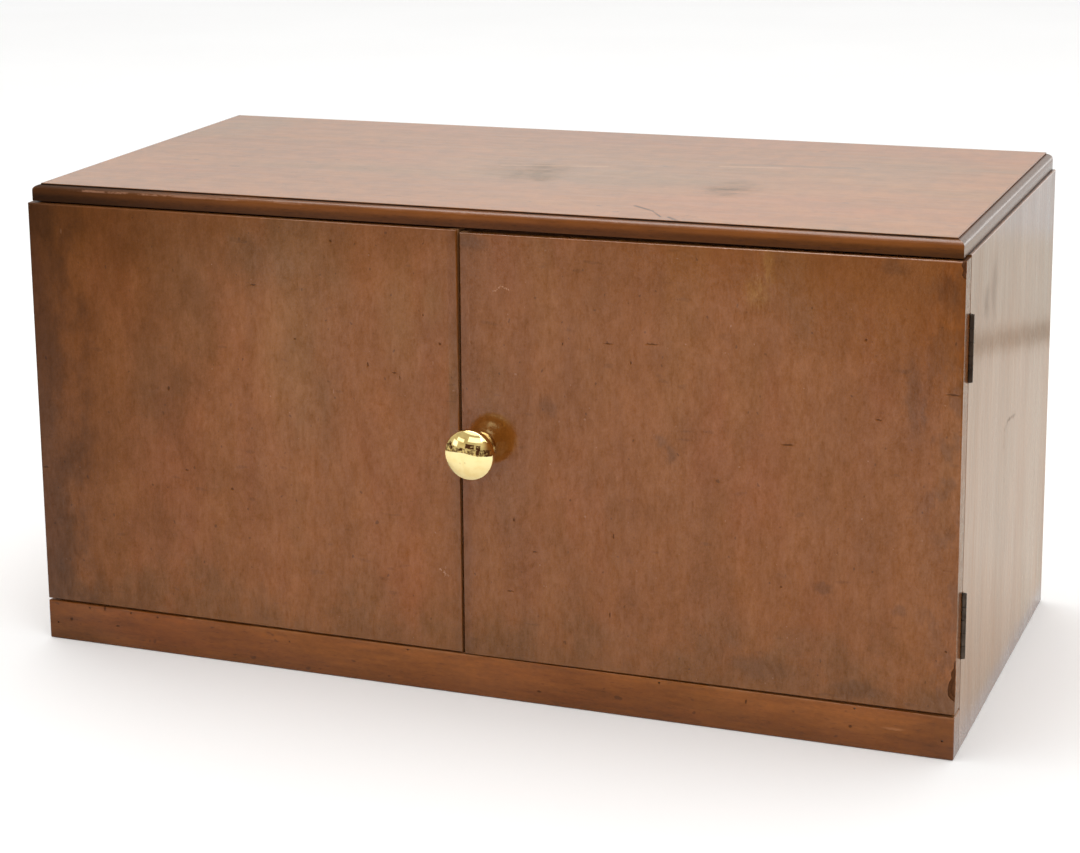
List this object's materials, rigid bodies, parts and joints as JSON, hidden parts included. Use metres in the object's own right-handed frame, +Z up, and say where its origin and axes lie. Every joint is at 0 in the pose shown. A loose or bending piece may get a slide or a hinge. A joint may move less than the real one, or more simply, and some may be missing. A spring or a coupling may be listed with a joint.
{
  "type": "desktop cabinet with doors",
  "caption": "Low mahogany desktop cabinet with side-hung overlay doors, moulded top board, plinth rail, brass mushroom knob and an inside shelf.",
  "frame": {"origin": "on the floor plane, under the middle of the whole object, knob included", "axes": "+Z up, doors and knob face -Y, +X along the width towards the right-hand door as seen from the front"},
  "size_m": [0.5898, 0.3104, 0.299],
  "materials": {
    "top_mahogany": "old french-polished mahogany, satin gloss, faint grey stains and scratches",
    "door_mahogany": "straight-grained mahogany veneer, grain vertical, worn semi-gloss varnish",
    "lipping_mahogany": "solid mahogany lipping, grain vertical, semi-gloss varnish",
    "side_mahogany": "mahogany, grain vertical, glossy varnish",
    "plinth_mahogany": "solid mahogany, grain lengthwise, semi-gloss varnish",
    "inner_mahogany": "mahogany, grain lengthwise, thin dull polish",
    "softwood": "bare planed pine, darkened with age",
    "back_board": "unpolished thin board, stained brown",
    "beech": "bare beech",
    "hinge_steel": "dark oxidised steel, dull",
    "steel_screws": "plain steel, slightly tarnished",
    "polished_brass": "mirror-polished brass",
    "aged_brass": "satin brass, lightly tarnished",
    "catch_plastic": "brown moulded plastic",
    "catch_steel": "zinc-plated steel",
    "magnet_ferrite": "dark grey ferrite"
  },
  "bodies": {
    "carcass": {"back_panel": "back_board", "back_panel_screws": "steel_screws", "back_top_rail": "softwood", "bottom_board": "inner_mahogany", "carcass_hinge_screws": "hinge_steel", "catch_case": "catch_plastic", "catch_magnet": "magnet_ferrite", "catch_pole_plates": "catch_steel", "catch_screws": "steel_screws", "front_top_rail": "inner_mahogany", "glue_blocks": "softwood", "keeper_screws": "aged_brass", "left_lower_hinge_carcass_leaf": "hinge_steel", "left_lower_hinge_pin": "hinge_steel", "left_shelf_bearer": "softwood", "left_side_panel": "side_mahogany", "left_upper_hinge_carcass_leaf": "hinge_steel", "left_upper_hinge_pin": "hinge_steel", "lower_bolt_keeper": "aged_brass", "plinth_brads": "steel_screws", "plinth_rail": "plinth_mahogany", "rail_dowels": "beech", "right_lower_hinge_carcass_leaf": "hinge_steel", "right_lower_hinge_pin": "hinge_steel", "right_shelf_bearer": "softwood", "right_side_panel": "side_mahogany", "right_upper_hinge_carcass_leaf": "hinge_steel", "right_upper_hinge_pin": "hinge_steel", "shelf": "inner_mahogany", "shelf_bearer_screws": "steel_screws", "top_board": "top_mahogany", "top_board_screws": "steel_screws", "upper_bolt_keeper": "aged_brass"},
    "right_door": {"catch_strike": "catch_steel", "catch_strike_screw": "steel_screws", "knob": "polished_brass", "knob_rose": "polished_brass", "knob_screw": "steel_screws", "knob_washer": "steel_screws", "right_door_hinge_screws": "hinge_steel", "right_door_lipping": "lipping_mahogany", "right_door_panel": "door_mahogany", "right_lower_hinge_door_leaf": "hinge_steel", "right_upper_hinge_door_leaf": "hinge_steel"},
    "left_door": {"bolt_plate_screws": "aged_brass", "left_door_hinge_screws": "hinge_steel", "left_door_lipping": "lipping_mahogany", "left_door_panel": "door_mahogany", "left_lower_hinge_door_leaf": "hinge_steel", "left_upper_hinge_door_leaf": "hinge_steel", "lower_bolt_plate": "aged_brass", "upper_bolt_plate": "aged_brass"},
    "upper_door_bolt": {"upper_bolt": "aged_brass"},
    "lower_door_bolt": {"lower_bolt": "aged_brass"}
  },
  "joints": [
    {"name": "right_door_hinge", "type": "hinge", "parent": "carcass", "child": "right_door", "pos_m": [0.293, -0.11545, 0.15575], "axis": [0, 0, 1], "range_deg": [0, 180]},
    {"name": "left_door_hinge", "type": "hinge", "parent": "carcass", "child": "left_door", "pos_m": [-0.293, -0.11545, 0.15575], "axis": [0, 0, -1], "range_deg": [0, 180]},
    {"name": "upper_bolt_slide", "type": "slide", "parent": "left_door", "child": "upper_door_bolt", "axis": [0, 0, 1], "range_m": [0, 0.008]},
    {"name": "lower_bolt_slide", "type": "slide", "parent": "left_door", "child": "lower_door_bolt", "axis": [0, 0, -1], "range_m": [0, 0.008]}
  ]
}
